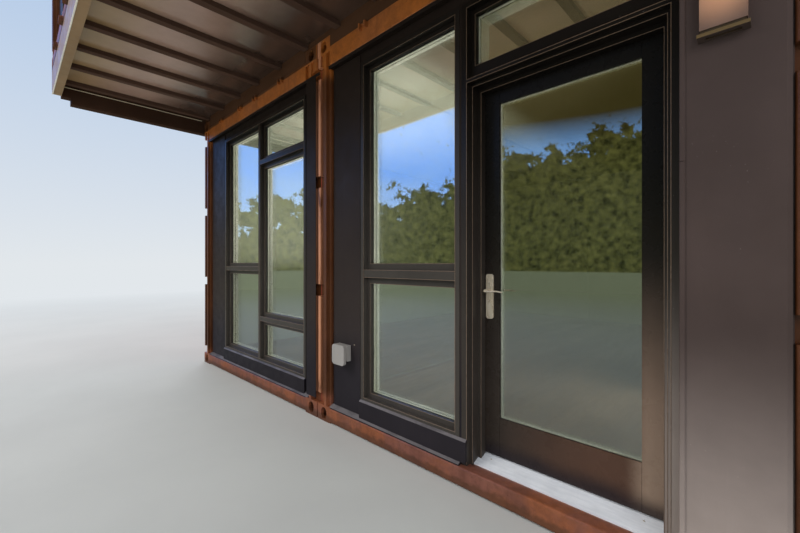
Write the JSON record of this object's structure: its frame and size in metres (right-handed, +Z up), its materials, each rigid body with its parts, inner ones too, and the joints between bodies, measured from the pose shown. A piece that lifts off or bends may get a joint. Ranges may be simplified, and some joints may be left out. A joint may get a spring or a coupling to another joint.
{
  "type": "two-storey shipping container house with a glazed front",
  "caption": "House of stacked freight containers with corrugated sides, dark framed windows, a glazed entrance door and an overhanging upper storey.",
  "frame": {"origin": "on the ground, under the middle of the whole outline", "axes": "front faces -Y, +X is to the right of someone facing the front, +Z up"},
  "size_m": [5.22, 7.469, 5.932],
  "materials": {
    "container_orange": "weathered orange-brown paint",
    "container_red": "sun-faded red-orange paint",
    "dark_trim": "satin dark bronze",
    "frame_bronze": "satin near-black bronze",
    "door_bronze": "satin dark bronze",
    "soffit": "satin bronze",
    "edge_beam": "satin olive tan",
    "deck_steel": "satin grey",
    "corner_panel": "satin brown-grey",
    "glass": "clear, slightly green",
    "floor_wood": "oiled boards",
    "aluminium": "mill finish",
    "nickel": "satin nickel",
    "outlet_plastic": "pale grey",
    "light_shade": "satin bronze"
  },
  "bodies": {
    "building": {"ground_left_front_frame": "container_orange", "ground_right_front_frame": "container_orange", "ground_rear_frames": "container_red", "ground_left_wall": "container_red", "ground_right_wall": "container_red", "ground_rear_walls": "container_red", "ground_middle_rails": "container_red", "ground_floors": "floor_wood", "ground_roofs": "container_red", "upper_front_frames": "container_orange", "upper_rear_frames": "container_red", "upper_left_wall": "container_red", "upper_right_wall": "container_red", "upper_rear_walls": "container_red", "upper_middle_rails": "container_red", "upper_floors": "floor_wood", "upper_roofs": "container_red", "deck_beams": "deck_steel", "side_brackets": "dark_trim", "front_edge_beam": "edge_beam", "soffit_boards": "soffit", "soffit_ribs": "dark_trim", "front_ledger": "dark_trim", "left_bay_infill": "dark_trim", "right_bay_infill": "dark_trim", "sill_flashing": "dark_trim", "front_trims": "dark_trim", "left_window_frame": "frame_bronze", "left_window_glass": "glass", "slim_window_frame": "frame_bronze", "right_bay_glass": "glass", "upper_infill": "dark_trim", "upper_window_frames": "frame_bronze", "upper_window_glass": "glass", "door_frame": "frame_bronze", "threshold": "aluminium", "door_hinges": "nickel", "outlet_cover": "outlet_plastic", "wall_light": "light_shade", "corner_panel": "corner_panel", "end_post": "container_orange"},
    "door": {"door_leaf": "door_bronze", "door_glass": "glass", "handle_plates": "nickel"},
    "lever": {"lever_handle": "nickel"}
  },
  "joints": [
    {"name": "door_swing", "type": "hinge", "parent": "building", "child": "door", "pos_m": [2.164, -2.1035, 1.142], "axis": [0, 0, -1], "range_deg": [0, 90]},
    {"name": "lever_turn", "type": "hinge", "parent": "door", "child": "lever", "pos_m": [1.3525, -2.1585, 1.046], "axis": [0, 1, 0], "range_deg": [0, 40], "stiffness_Nm_per_rad": 1.5, "springref_deg": -28.65}
  ]
}
